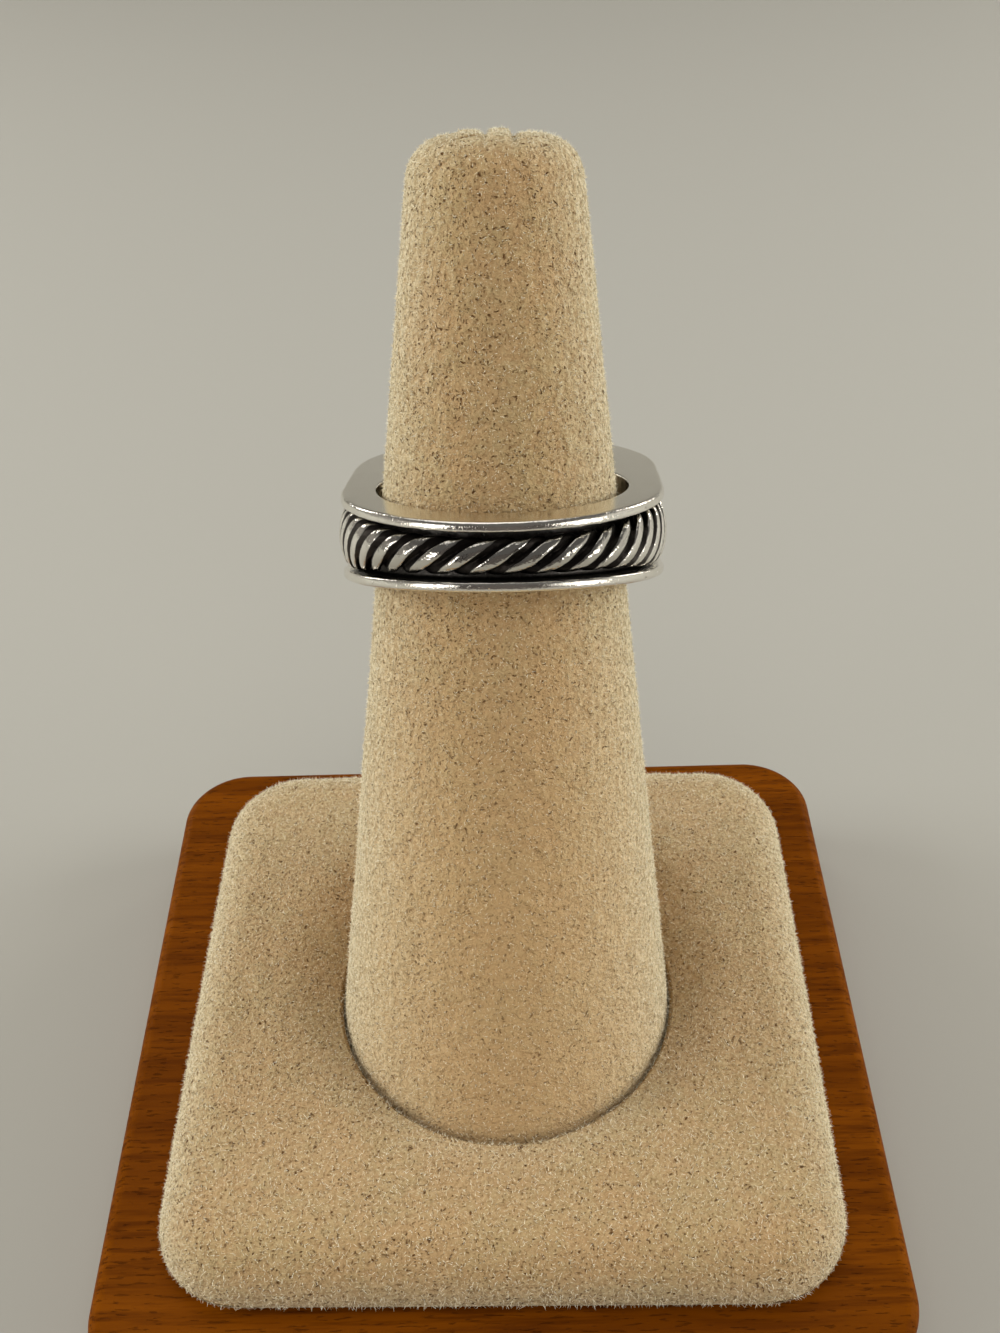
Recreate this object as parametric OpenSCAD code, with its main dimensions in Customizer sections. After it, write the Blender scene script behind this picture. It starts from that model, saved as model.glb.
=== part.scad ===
// Citrine ring on a suede display finger.
// Origin: centre of the board's underside. +Z up, +Y towards the stone, so the
// finger leans towards +Y and the back of the shank faces -Y. Millimetres.

/* [Base board] */
// Side of the square board
board_side = 57; // [54:0.5:70]
// Thickness of the board
board_h = 9; // [6:0.5:14]
// Radius of the board's corners in plan
board_corner_r = 5.5; // [3:0.5:9]
// Radius that eases the board's top edges
board_ease_r = 0.8; // [0.3:0.1:2]

/* [Suede pad] */
// Side of the square pad
pad_side = 48.2; // [44:0.2:52]
// Height of the pad at its highest ridge
pad_h = 5.2; // [5:0.1:7]
// Radius of the pad's corners in plan
pad_corner_r = 6.3; // [5:0.1:9]
// Radius of the pad's soft upper edge
pad_edge_r = 3.6; // [2:0.1:3.9]
// Radius that tucks the pad's foot in
pad_foot_r = 1.2; // [0.4:0.1:1.2]
// Distance from the finger's axis out to the pad's highest ridge
pad_ridge_r = 18.5; // [16:0.5:20]
// How far the pad dips round the finger
pad_dip = 1.6; // [0.3:0.1:2]
// Fall of the pad from its ridge to its corners
pad_fall = 0.9; // [0:0.1:1.5]
// Sideways place of the pad's middle on the board, as it was glued on
pad_x = 0.3; // [-1:0.1:1]
// Place of the pad's middle towards the stone's side
pad_y = 0.2; // [-1:0.1:1]
// Turn of the pad on the board, in degrees
pad_turn = -0.9; // [-2:0.1:2]
// Slack between the pad's hole and the finger
pad_hole_gap = 0.25; // [0.1:0.05:0.6]

/* [Display finger] */
// Sideways place of the finger's axis at the board's top
finger_x = 0.65; // [-1:0.05:1]
// Place of that axis towards the stone's side
finger_y = -0.8; // [-1:0.05:1]
// Lean of the finger towards the stone's side, in degrees
finger_lean = 24.3; // [10:0.1:30]
// Lean of the finger to the side, in degrees
finger_side_lean = 0.8; // [-2:0.1:2]
// Radius of the finger where its axis meets the board
finger_foot_r = 12.94; // [11:0.1:14]
// Half angle of the finger's taper, in degrees
finger_taper = 6.16; // [4:0.1:7]
// Length of the finger along its axis, above the board
finger_length = 67; // [55:1:75]
// Radius of the finger's rounded tip edge
finger_tip_r = 3; // [1:0.1:4]

/* [Shank] */
// Radius of the ring's hole, which is about a US size 8
hole_r = 8.98; // [8.9:0.01:9.1]
// Half the width of the shank across its straight sides
shank_half_w = 11.45; // [11.3:0.05:11.8]
// Drop of the round back of the shank below the hole's centre
shank_drop = 0.35; // [0:0.05:0.8]
// Height above the hole's centre where the shoulders start to turn in
shoulder_y = 6.9; // [6.7:0.1:8]
// Radius of the shoulders' curve
shoulder_r = 14.5; // [14:0.1:17]
// Height of the shoulders' flat ends above the hole's centre
shoulder_h = 15.6; // [15.2:0.1:15.7]
// Width of the band at the back of the shank, along the finger
band_w = 4.6; // [4:0.05:5]
// Growth of the band's width for each millimetre towards the stone
band_flare = 0.15; // [0.1:0.01:0.16]
// Thickness of each rail beside the channel
rail_t = 0.7; // [0.4:0.05:0.8]
// Depth of the channel that the wire lies in
channel_d = 1.8; // [1.6:0.05:1.85]

/* [Place of the ring] */
// Place of the band's middle along the finger's axis
ring_along = 40.24; // [39:0.01:43]
// Place of the ring's hole off the finger's axis, sideways
ring_x = 0.22; // [-0.2:0.01:0.3]
// Place of the ring's hole off the finger's axis, towards the stone
ring_y = 0.12; // [-0.2:0.01:0.2]
// Tilt of the ring on the finger, stone side down, in degrees
ring_tilt = 2.8; // [0:0.1:3]
// Roll of the ring to the side, in degrees
ring_roll = -0.3; // [-1:0.1:1]
// Turn of the ring round the finger, in degrees
ring_turn = 2; // [-5:0.5:5]
// Slack between the ring and the suede that it squeezes
squeeze_gap = 0.1; // [0.05:0.01:0.2]

/* [Twisted wire] */
// Gap between the wire and the channel's floor
wire_seat_gap = 0.05; // [0.05:0.01:0.1]
// Width of the wire, as a share of the channel's width
wire_share = 0.74; // [0.5:0.01:0.8]
// How far the wire stands proud of the rails
wire_proud = 0.2; // [0.1:0.05:0.5]
// Gap between the wire's ends and the ends of the shoulders
wire_end_gap = 0.2; // [0.05:0.05:0.4]

/* [Setting and stone] */
// Width of the cushion stone across its flats
stone_w = 12.6; // [12:0.1:12.6]
// Wall of the bezel
bezel_t = 0.85; // [0.6:0.05:1]
// Height of the stone's girdle above the hole's centre
girdle_h = 15.7; // [15.7:0.1:16.5]
// Thickness of the girdle
girdle_t = 0.4; // [0.2:0.05:0.5]
// Height of the stone's crown above its girdle
crown_h = 2.2; // [1.6:0.1:2.8]
// Depth of the stone's pavilion below its girdle
pavilion_d = 5.2; // [4:0.1:5.2]
// Height of the bezel's lip above the girdle
lip_h = 0.7; // [0.4:0.1:1]
// Gap between the stone and its seat
stone_gap = 0.08; // [0.03:0.01:0.15]
// Height of the bezel's lower edge above the hole's centre
bezel_low = 13.2; // [12.8:0.1:13.6]
// Set-in of the gallery under the bezel's lower edge
gallery_step = 0.35; // [0.1:0.05:0.6]
// Half the width of the gallery where it meets the band
gallery_half = 4.6; // [4:0.1:5.4]

/* [Hidden] */
$fn = 96;

// Cutters run past the faces that they cut by this much
past = 2;

// Flats in the rounded edges of the pad, the board and the finger's tip
foot_steps = 4;
edge_steps = 6;
tip_steps = 8;

pad_half = pad_side / 2;
// The pad's top is worked out in steps from the middle out past its corners
pad_reach = pad_half * 1.55;
pad_steps = 16;

finger_sink = 8;
finger_top_r = finger_foot_r - finger_length * tan(finger_taper);

// The shoulders' curve is centred past the hole, on the shank's far side
shoulder_x = shank_half_w - shoulder_r;
band_low = -shank_half_w - shank_drop;
wire_r = (channel_d - wire_seat_gap + wire_proud) / 2;
wire_depth = wire_r - wire_proud;
wire_sides = 12;
wire_step = 1.5;

stone_half = stone_w / 2;
stone_corner_r = stone_half * 0.5;
bezel_half = stone_half + stone_gap + bezel_t;
bezel_corner_r = stone_corner_r + stone_gap + bezel_t;
// The setting's underside clears the finger, which is wider below the band
finger_clear = 1;
gallery_low = hole_r + finger_clear;
gallery_top_half = bezel_half - gallery_step;
wire_back = 90 * (PI / 180) * (shank_half_w - wire_depth);
wire_side = shoulder_y + shank_drop;
wire_end_angle = asin((shoulder_h - wire_end_gap - shoulder_y) / (shoulder_r + wire_proud));
wire_length = wire_back + wire_side
    + wire_end_angle * (PI / 180) * (shoulder_r - wire_depth);

// The stone's facets, as shares of its width and of its crown or pavilion: the
// table, the corners between table and girdle, and the belly of the pavilion
table_w = 0.6;
star_w = 0.84;
star_h = 0.56;
belly_w = 0.55;
belly_d = 0.5;

// A square plate with round corners; its child is the plate's edge in section,
// drawn from x = 0 at the corner's centre out to x = corner_r.
module edged_plate(side, corner_r, height) {
    inner = side - 2 * corner_r;
    translate([-inner / 2, -inner / 2, 0]) cube([inner, inner, height]);
    for (quarter = [0:3]) rotate(quarter * 90) {
        translate([inner / 2, inner / 2, 0])
            rotate([90, 0, 0]) linear_extrude(inner) children();
        translate([inner / 2, inner / 2, 0])
            rotate_extrude(angle = 90) children();
    }
}

// Points of a rounded edge, from its flat side to its upright side
function round_points(cx, cy, r, from, to, n) =
    [for (i = [0:n]) let (a = from + (to - from) * i / n) [cx + r * cos(a), cy + r * sin(a)]];

module edge_section(corner_r, height, top_r, foot_r) {
    polygon(concat(
        [[0, 0]],
        foot_r > 0
            ? round_points(corner_r - foot_r, foot_r, foot_r, -90, 0, foot_steps)
            : [[corner_r, 0]],
        round_points(corner_r - top_r, height - top_r, top_r, 0, 90, edge_steps),
        [[0, height]]
    ));
}

module base_board() {
    color("sienna")
        edged_plate(board_side, board_corner_r, board_h)
            edge_section(board_corner_r, board_h, board_ease_r, 0);
}

// Height of the pad's top at a distance r from the finger: it dips towards the
// finger inside its ridge and falls away slowly towards the corners outside it.
function pad_top(r) =
    r < pad_ridge_r
        ? pad_h - pad_dip * pow((pad_ridge_r - r) / (pad_ridge_r - finger_foot_r), 2)
        : pad_h - pad_fall * pow((r - pad_ridge_r) / (pad_reach - pad_ridge_r), 2);

// The crown is round the finger where it comes out of the pad
module pad_crown() {
    inner = finger_foot_r * 0.8;
    translate([finger_x, finger_y + pad_h * tan(finger_lean), 0]) rotate_extrude()
        polygon(concat(
            [[0, -past], [pad_reach, -past]],
            [for (i = [pad_steps:-1:0])
                let (r = inner + (pad_reach - inner) * i / pad_steps) [r, pad_top(r)]],
            [[0, pad_top(inner)]]
        ));
}

module pad() {
    color("wheat") difference() {
        translate([0, 0, board_h]) intersection() {
            translate([pad_x, pad_y, 0]) rotate(pad_turn)
                edged_plate(pad_side, pad_corner_r, pad_h)
                    edge_section(pad_corner_r, pad_h, pad_edge_r, pad_foot_r);
            pad_crown();
        }
        on_finger(0) finger_cone(pad_hole_gap);
    }
}

// Puts its children on the finger's axis, at a distance along it from the board
module on_finger(along) {
    translate([finger_x, finger_y, board_h])
        rotate([-finger_lean, finger_side_lean, 0])
            translate([0, 0, along]) children();
}

module finger_cone(gap) {
    foot_r = finger_foot_r + finger_sink * tan(finger_taper) + gap;
    translate([0, 0, -finger_sink])
        cylinder(h = finger_sink + finger_length, r1 = foot_r, r2 = finger_top_r + gap);
}

// The finger in section: a taper whose tip turns over a round edge to a flat top
module finger_half() {
    foot_r = finger_foot_r + finger_sink * tan(finger_taper);
    edge_x = finger_top_r - finger_tip_r * (1 - sin(finger_taper)) / cos(finger_taper);
    polygon(concat(
        [[0, -finger_sink], [foot_r, -finger_sink]],
        round_points(edge_x, finger_length - finger_tip_r, finger_tip_r, finger_taper, 90, tip_steps),
        [[0, finger_length]]
    ));
}

// The suede is pressed in where the ring sits on it
module finger() {
    color("tan") difference() {
        on_finger(0) rotate_extrude() finger_half();
        below = 3 * finger_foot_r;
        translate([-below, -below, board_h - below]) cube([2 * below, 2 * below, below]);
        on_ring() difference() {
            band_wedge(-squeeze_gap);
            cylinder(h = 2 * band_w + 2 * shoulder_h, r = hole_r - squeeze_gap, center = true);
        }
    }
}

// Places its children in the ring's own frame: the hole runs along Z through
// the origin and the stone is at +Y.
module on_ring() {
    on_finger(ring_along) translate([ring_x, ring_y, 0])
        rotate([-ring_tilt, 0, 0]) rotate([0, ring_roll, 0]) rotate([0, 0, -ring_turn])
            children();
}

// Width of the band at a height y above the hole's centre
function band_at(y) = band_w + band_flare * (y - band_low);

// A wedge as wide as the band, which widens towards the stone, less an inset
module band_wedge(inset) {
    low = band_low - past;
    high = shoulder_h + past;
    rotate([90, 0, 90]) linear_extrude(4 * shank_half_w, center = true)
        polygon([
            [low, inset - band_at(low) / 2], [high, inset - band_at(high) / 2],
            [high, band_at(high) / 2 - inset], [low, band_at(low) / 2 - inset]
        ]);
}

// The shank's outline as a tall solid, set in by a depth: a round back, straight
// sides, and shoulders that curve in to flat ends.
module shank_block(depth) {
    half_w = shank_half_w - depth;
    height = 2 * band_at(shoulder_h);
    translate([0, 0, -height / 2]) {
        translate([0, -shank_drop, 0])
            rotate(180) rotate_extrude(angle = 180) square([half_w, height]);
        translate([-half_w, -shank_drop, 0])
            cube([2 * half_w, shoulder_y + shank_drop, height]);
        intersection() {
            translate([shoulder_x, shoulder_y, 0]) cylinder(h = height, r = shoulder_r - depth);
            translate([-shoulder_x, shoulder_y, 0]) cylinder(h = height, r = shoulder_r - depth);
            translate([-2 * half_w, shoulder_y, 0])
                cube([4 * half_w, shoulder_h - shoulder_y, height]);
        }
    }
}

// A cushion-shaped prism along the ring's +Y
module cushion_prism(half, corner_r, low, high) {
    inner = 2 * (half - corner_r);
    translate([0, high, 0]) rotate([90, 0, 0]) {
        translate([-inner / 2, -half, 0]) cube([inner, 2 * half, high - low]);
        translate([-half, -inner / 2, 0]) cube([2 * half, inner, high - low]);
        for (x = [-1, 1], y = [-1, 1])
            translate([x * inner / 2, y * inner / 2, 0])
                cylinder(h = high - low, r = corner_r, $fn = 48);
    }
}

// The bezel, and the gallery that widens from the band up to it. The gallery's
// underside clears the finger.
module setting() {
    slice = 0.3;
    difference() {
        union() {
            cushion_prism(bezel_half, bezel_corner_r, bezel_low, girdle_h + lip_h);
            hull() {
                cushion_prism(gallery_half, gallery_half / 2, gallery_low, gallery_low + slice);
                cushion_prism(
                    gallery_top_half, bezel_corner_r - gallery_step,
                    bezel_low - slice, bezel_low + slice
                );
            }
        }
        cylinder(h = 4 * bezel_half, r = gallery_low, center = true);
    }
}

// A trough with sloping sides, along the ring's Z
module seat_trough(half, low, high) {
    linear_extrude(3 * half, center = true)
        polygon([[-half, high], [0, low], [half, high]]);
}

// The hollow for the stone: a cushion that its girdle drops into, and below it
// a pyramid that follows its pavilion, whose belly stands out from a straight line.
module stone_seat() {
    half = stone_half + stone_gap;
    corner_r = stone_corner_r + stone_gap;
    ledge = girdle_h - girdle_t / 2;
    belly_half = half * belly_w;
    slope = (half - belly_half) / (pavilion_d * belly_d);
    low = ledge - half / slope;
    cushion_prism(half, corner_r, ledge, girdle_h + lip_h + past);
    intersection() {
        cushion_prism(half, corner_r, low, ledge + past / 4);
        seat_trough(half + slope * past / 2, low, ledge + past / 2);
        rotate([0, 90, 0]) seat_trough(half + slope * past / 2, low, ledge + past / 2);
    }
}

module shank() {
    color("silver") on_ring() difference() {
        union() {
            difference() {
                intersection() {
                    shank_block(0);
                    band_wedge(0);
                }
                difference() {
                    intersection() {
                        shank_block(-past);
                        band_wedge(rail_t);
                    }
                    shank_block(channel_d);
                }
            }
            setting();
        }
        cylinder(h = 2 * band_at(shoulder_h), r = hole_r, center = true);
        stone_seat();
    }
}

// Place on the wire's route, at a length s from the middle of the shank's back:
// [x, y, angle of the way outwards]. It lies inside the outline by wire_depth.
function wire_place(s) =
    let (a = abs(s), side = s < 0 ? -1 : 1, half_w = shank_half_w - wire_depth)
    a < wire_back
        ? let (t = 90 * a / wire_back)
            [side * half_w * sin(t), -shank_drop - half_w * cos(t), side * t - 90]
        : a < wire_back + wire_side
            ? [side * half_w, a - wire_back - shank_drop, side * 90 - 90]
            : let (r = shoulder_r - wire_depth, t = (a - wire_back - wire_side) / r * (180 / PI))
                [side * (shoulder_x + r * cos(t)), shoulder_y + r * sin(t), side * (90 + t) - 90];

// The wire is a rod swept along its route, oval where the channel is wide
module twisted_wire() {
    steps = ceil(2 * wire_length / wire_step);
    points = [for (i = [0:steps], k = [0:wire_sides - 1])
        let (
            place = wire_place(wire_length * (2 * i / steps - 1)),
            half = wire_share * (band_at(place[1]) / 2 - rail_t),
            a = 360 * k / wire_sides,
            out = wire_r * cos(a)
        ) [place[0] + out * cos(place[2]), place[1] + out * sin(place[2]), half * sin(a)]];
    faces = concat(
        [[for (k = [0:wire_sides - 1]) k]],
        [[for (k = [wire_sides - 1:-1:0]) steps * wire_sides + k]],
        [for (i = [0:steps - 1], k = [0:wire_sides - 1])
            let (low = i * wire_sides, next = (k + 1) % wire_sides)
            [low + k, low + wire_sides + k, low + wire_sides + next, low + next]]
    );
    color("dimgray") on_ring() polyhedron(points, faces);
}

// Distance from the stone's middle to its cushion outline, in the direction a
function cushion_reach(a, half, corner_r) =
    let (
        b = abs(((a + 45) % 90) - 45),
        c = half - corner_r,
        x = half * tan(b),
        m = c * (cos(b) + sin(b))
    )
    x <= c ? half / cos(b) : m + sqrt(m * m - 2 * c * c + corner_r * corner_r);

// A ring of the stone's corners at one height
function stone_ring(count, turn, scale, height) =
    [for (k = [0:count - 1])
        let (
            a = 360 * k / count + turn,
            r = scale * cushion_reach(a, stone_half, stone_corner_r)
        ) [r * cos(a), r * sin(a), height]];

// Triangles between a ring of 8 corners and a ring of 16, whose corner 2k is
// turned half a step before corner k of the 8
function fan_8_16(a, b) =
    [for (k = [0:7]) each [
        [a + k, b + 2 * k, b + (2 * k + 1) % 16],
        [a + k, b + (2 * k + 1) % 16, b + (2 * k + 2) % 16]
    ]];

function flip(faces) = [for (f = faces) [f[2], f[1], f[0]]];

module citrine() {
    top = girdle_t / 2;
    points = concat(
        stone_ring(8, 0, table_w, top + crown_h),
        stone_ring(8, 22.5, star_w, top + crown_h * star_h),
        stone_ring(16, 0, 1, top),
        stone_ring(16, 0, 1, -top),
        stone_ring(8, 22.5, belly_w * cos(22.5), -top - pavilion_d * belly_d),
        [[0, 0, -pavilion_d]]
    );
    table = 0;
    crown = 8;
    girdle_top = 16;
    girdle_low = 32;
    pavilion = 48;
    culet = 56;
    faces = concat(
        [[for (k = [7:-1:0]) table + k]],
        [for (k = [0:7]) each [
            [table + k, table + (k + 1) % 8, crown + k],
            [table + k, crown + k, girdle_top + 2 * k],
            [table + (k + 1) % 8, girdle_top + (2 * k + 2) % 16, crown + k]
        ]],
        flip(fan_8_16(crown, girdle_top)),
        [for (k = [0:15]) [
            girdle_top + k, girdle_top + (k + 1) % 16,
            girdle_low + (k + 1) % 16, girdle_low + k
        ]],
        fan_8_16(pavilion, girdle_low),
        [for (k = [0:7]) each [
            [pavilion + k, culet, girdle_low + 2 * k],
            [pavilion + k, girdle_low + (2 * k + 2) % 16, culet]
        ]]
    );
    color("orange") on_ring()
        translate([0, girdle_h, 0]) rotate([-90, 0, 0]) polyhedron(points, faces);
}

base_board();
pad();
finger();
shank();
twisted_wire();
citrine();
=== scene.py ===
# The looks of a silver citrine ring, worn on a suede display finger on a wooden board.
# Shapes are worked out in millimetres and become metres when a piece is added.
from math import asin, cos, hypot, pi, radians, sin, sqrt, tan

import bpy
import numpy as np
from mathutils import Matrix, Vector, noise


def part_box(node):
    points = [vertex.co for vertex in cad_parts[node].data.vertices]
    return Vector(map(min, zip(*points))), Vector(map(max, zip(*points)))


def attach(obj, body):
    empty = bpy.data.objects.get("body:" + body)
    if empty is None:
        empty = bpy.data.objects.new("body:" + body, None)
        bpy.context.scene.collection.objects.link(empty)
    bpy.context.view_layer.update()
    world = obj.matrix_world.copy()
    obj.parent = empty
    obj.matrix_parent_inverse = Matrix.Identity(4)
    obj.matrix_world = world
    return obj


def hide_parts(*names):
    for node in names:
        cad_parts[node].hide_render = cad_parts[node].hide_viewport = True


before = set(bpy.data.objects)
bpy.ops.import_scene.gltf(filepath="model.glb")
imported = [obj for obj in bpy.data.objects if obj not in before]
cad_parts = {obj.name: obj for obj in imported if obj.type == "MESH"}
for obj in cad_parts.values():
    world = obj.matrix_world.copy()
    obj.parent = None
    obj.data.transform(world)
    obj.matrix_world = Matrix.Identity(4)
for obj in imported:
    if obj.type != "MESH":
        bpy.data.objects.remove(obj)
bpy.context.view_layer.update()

MM = 0.001


def size_of(node):
    """Lowest and highest corner of a node in millimetres"""
    low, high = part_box(node)
    return np.array(low) / MM, np.array(high) / MM


# The stand: board, pad and finger
board_low, board_high = size_of("base_board")
BOARD_HALF = (board_high[0] - board_low[0]) / 2
BOARD_TOP = board_high[2]
BOARD_CORNER = 5.5
BOARD_EASE = 1.0
BOARD_FOOT_EASE = 0.35
PAD_HALF = 24.1
PAD_HEIGHT = 5.2
PAD_CORNER = 6.3
PAD_EDGE = 3.6
PAD_FOOT = 1.2
PAD_RIDGE = 18.5
PAD_DIP = 1.6
PAD_FALL = 0.9
PAD_PLACE = (0.3, 0.2)
PAD_TURN = radians(-0.9)
FINGER_FOOT = (0.65, -0.8)
FINGER_LEAN = radians(24.3)
FINGER_SIDE_LEAN = radians(0.8)
FINGER_FOOT_R = 12.94
FINGER_TAPER = radians(6.16)
FINGER_LENGTH = 67
FINGER_TIP_R = 3

# The ring, in its own frame: the hole along Z, the stone at +Y
RING_ALONG = 40.24
RING_OFFSET = (0.22, 0.12)
RING_TILT = radians(2.8)
RING_ROLL = radians(-0.3)
RING_TURN = radians(2)
HOLE_R = 8.98
FINGER_GAP = 0.12
SHANK_HALF = 11.45
SHANK_DROP = 0.35
SHOULDER_Y = 6.9
SHOULDER_R = 14.5
SHOULDER_TOP = 15.6
BAND_WIDTH = 4.6
BAND_FLARE = 0.15
RAIL = 0.7
RAIL_EDGE = 0.2
RAIL_WOBBLE = 0.03
RAIL_WOBBLE_LENGTH = 1.3
CHANNEL_DEPTH = 1.8
WIRE_GAP = 0.05
WIRE_PROUD = 0.2
WIRE_R = (CHANNEL_DEPTH - WIRE_GAP + WIRE_PROUD) / 2
WIRE_SHARE = 0.74
WIRE_REACH = 31.4
STRAND_SHARE = 0.414
STRAND_GROOVE = 0.76
STRAND_WORN_TOP = 0.93
STRANDS_BEFORE_MIDDLE = -0.0139
STRANDS_PER_MM = 0.4634
STRANDS_TIGHTENING = 0.000563
STONE_HALF = 6.3
STONE_CORNER = 3.15
GIRDLE_Y = 15.7
GIRDLE_HALF_T = 0.2
CROWN_TOP = 18.0
CULET_Y = 10.5
TABLE_SHARE = 0.6
STAR_SHARE = 0.84
STAR_RISE = 0.56
BELLY_SHARE = 0.55
BELLY_DROP = 0.5
SEAT_SLOPE = 1.1077
SEAT_APEX = 9.74
BEZEL_HALF = 7.23
BEZEL_CORNER = 4.08
BEZEL_LOW = 13.2
BEZEL_TOP = 16.4
GALLERY_HALF = 4.6
GALLERY_TOP_HALF = 6.88
GALLERY_CUT_R = HOLE_R + 1

# The camera, at the photograph's viewing angle
CAMERA_PLACE = (1.707, -72.002, 109.562)
CAMERA_YAW = radians(-0.56)
CAMERA_PITCH = radians(41.24)
CAMERA_ROLL = radians(-1.83)
CAMERA_LENS = 40.72
SENSOR = 36


def turn(axis, angle):
    """A rotation about an axis"""
    return Matrix.Rotation(angle, 4, axis)


def shift(x, y, z):
    """A straight move"""
    return Matrix.Translation((x, y, z))


FINGER_FRAME = (
    shift(*FINGER_FOOT, BOARD_TOP) @ turn("Y", FINGER_SIDE_LEAN) @ turn("X", -FINGER_LEAN)
)
RING_FRAME = (
    FINGER_FRAME @ shift(*RING_OFFSET, RING_ALONG)
    @ turn("X", -RING_TILT) @ turn("Y", RING_ROLL) @ turn("Z", -RING_TURN)
)


def placed(points, matrix):
    """Points moved by a matrix, as an array"""
    points = np.asarray(points, float)
    turned = np.array(matrix.to_3x3())
    return points @ turned.T + np.array(matrix.translation)


def smoothstep(low, high, value):
    """0 up to low and 1 from high on, with a smooth rise between them. Where low is over
    high, it falls as the value rises."""
    t = np.clip((value - low) / (high - low), 0, 1)
    return t * t * (3 - 2 * t)


def drift(points, scale, seed):
    """A smooth random number from -1 to 1 for each point, with features as long as scale"""
    origin = Vector((seed * 17.3, seed * 5.1, seed * 9.7))
    return np.array([noise.noise(Vector(p) / scale + origin) for p in points])


def lattice(rows, columns, rows_closed=False):
    """Four-sided faces between rows of points, each row a closed ring"""
    faces = []
    for row in range(rows if rows_closed else rows - 1):
        here, above = row * columns, (row + 1) % rows * columns
        for column in range(columns):
            after = (column + 1) % columns
            faces.append((here + column, here + after, above + after, above + column))
    return faces


def capped_lattice(rows, columns):
    """A lattice with one more face over its first row and one over its last"""
    first = tuple(reversed(range(columns)))
    last = tuple(range((rows - 1) * columns, rows * columns))
    return lattice(rows, columns) + [first, last]


def add_piece(name, points, faces, finish=None):
    """A mesh object made of points in millimetres"""
    mesh = bpy.data.meshes.new(name)
    mesh.from_pydata((np.asarray(points) * MM).tolist(), [], faces)
    mesh.update()
    mesh.shade_smooth()
    piece = bpy.data.objects.new(name, mesh)
    bpy.context.scene.collection.objects.link(piece)
    if finish:
        mesh.materials.append(finish)
    return piece


def set_attribute(piece, name, values):
    """A number on each point of a piece, for its finish to read"""
    attribute = piece.data.attributes.new(name, "FLOAT", "POINT")
    attribute.data.foreach_set("value", np.asarray(values, np.float32))


def points_of(piece):
    """A piece's points in millimetres"""
    coordinates = np.zeros(len(piece.data.vertices) * 3)
    piece.data.vertices.foreach_get("co", coordinates)
    return coordinates.reshape(-1, 3) / MM


def take_result(piece, modifier):
    """Makes a modifier's result the piece's own mesh, and removes the modifier"""
    bpy.context.view_layer.update()
    result = bpy.data.meshes.new_from_object(
        piece.evaluated_get(bpy.context.evaluated_depsgraph_get())
    )
    piece.modifiers.remove(modifier)
    piece.data = result


def hand_over(piece, slot, *nodes):
    """Hands a finished piece to the frame, in place of its nodes"""
    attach(piece, "root")
    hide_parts(*nodes)


# Nodes of the finishes


def add_node(tree, kind, inputs=(), **settings):
    """A node with its settings, and with inputs that are values or other nodes' sockets"""
    node = tree.nodes.new(kind)
    for key, value in settings.items():
        setattr(node, key, value)
    for key, value in dict(inputs).items():
        if isinstance(value, bpy.types.NodeSocket):
            tree.links.new(value, node.inputs[key])
        else:
            node.inputs[key].default_value = value
    return node


def start_finish(name, **values):
    """A material with one Principled shader, and the shader with its values set"""
    material = bpy.data.materials.new(name)
    material.use_nodes = True
    tree = material.node_tree
    shader = tree.nodes["Principled BSDF"]
    for key, value in values.items():
        shader.inputs[key.replace("_", " ")].default_value = value
    return material, tree, shader


def millimetre_place(tree, stretch=(1, 1, 1), turned=(0, 0, 0)):
    """The place on the piece in millimetres, turned, and stretched along some axes"""
    coordinates = add_node(tree, "ShaderNodeTexCoord")
    scale = [1 / MM * s for s in stretch]
    mapping = add_node(tree, "ShaderNodeMapping", {
        "Vector": coordinates.outputs["Object"], "Scale": scale, "Rotation": turned,
    })
    return mapping.outputs["Vector"]


def noise_at(tree, place, scale, detail, roughness=0.5, distortion=0.0):
    """Soft noise from about 0 to 1"""
    node = add_node(tree, "ShaderNodeTexNoise", {
        "Vector": place, "Scale": scale, "Detail": detail,
        "Roughness": roughness, "Distortion": distortion,
    })
    return node.outputs["Fac"]


def remap(tree, value, from_low, from_high, to_low=0.0, to_high=1.0):
    """A value moved from one range to another and held inside it"""
    node = add_node(tree, "ShaderNodeMapRange", {
        "Value": value, "From Min": from_low, "From Max": from_high,
        "To Min": to_low, "To Max": to_high,
    })
    return node.outputs["Result"]


def calculate(tree, operation, a, b):
    """The sum, product or other result of two values"""
    node = add_node(tree, "ShaderNodeMath", {0: a, 1: b}, operation=operation)
    return node.outputs["Value"]


def mix_colour(tree, factor, a, b):
    """A colour between two, each one three numbers or another node's socket"""
    node = add_node(tree, "ShaderNodeMix", data_type="RGBA")
    for key, value in (("Factor_Float", factor), ("A_Color", a), ("B_Color", b)):
        socket = next(s for s in node.inputs if s.identifier == key)
        if isinstance(value, bpy.types.NodeSocket):
            tree.links.new(value, socket)
        else:
            socket.default_value = (*value, 1) if isinstance(value, tuple) else value
    return next(s for s in node.outputs if s.identifier == "Result_Color")


def add_bump(tree, shader, height, distance):
    """Bump with a height in millimetres"""
    bump = add_node(tree, "ShaderNodeBump", {
        "Height": height, "Distance": distance * MM, "Strength": 1.0,
    })
    tree.links.new(bump.outputs["Normal"], shader.inputs["Normal"])


def read_attribute(tree, name):
    """The number that set_attribute gave to each point"""
    return add_node(tree, "ShaderNodeAttribute", attribute_name=name).outputs["Fac"]


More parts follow.
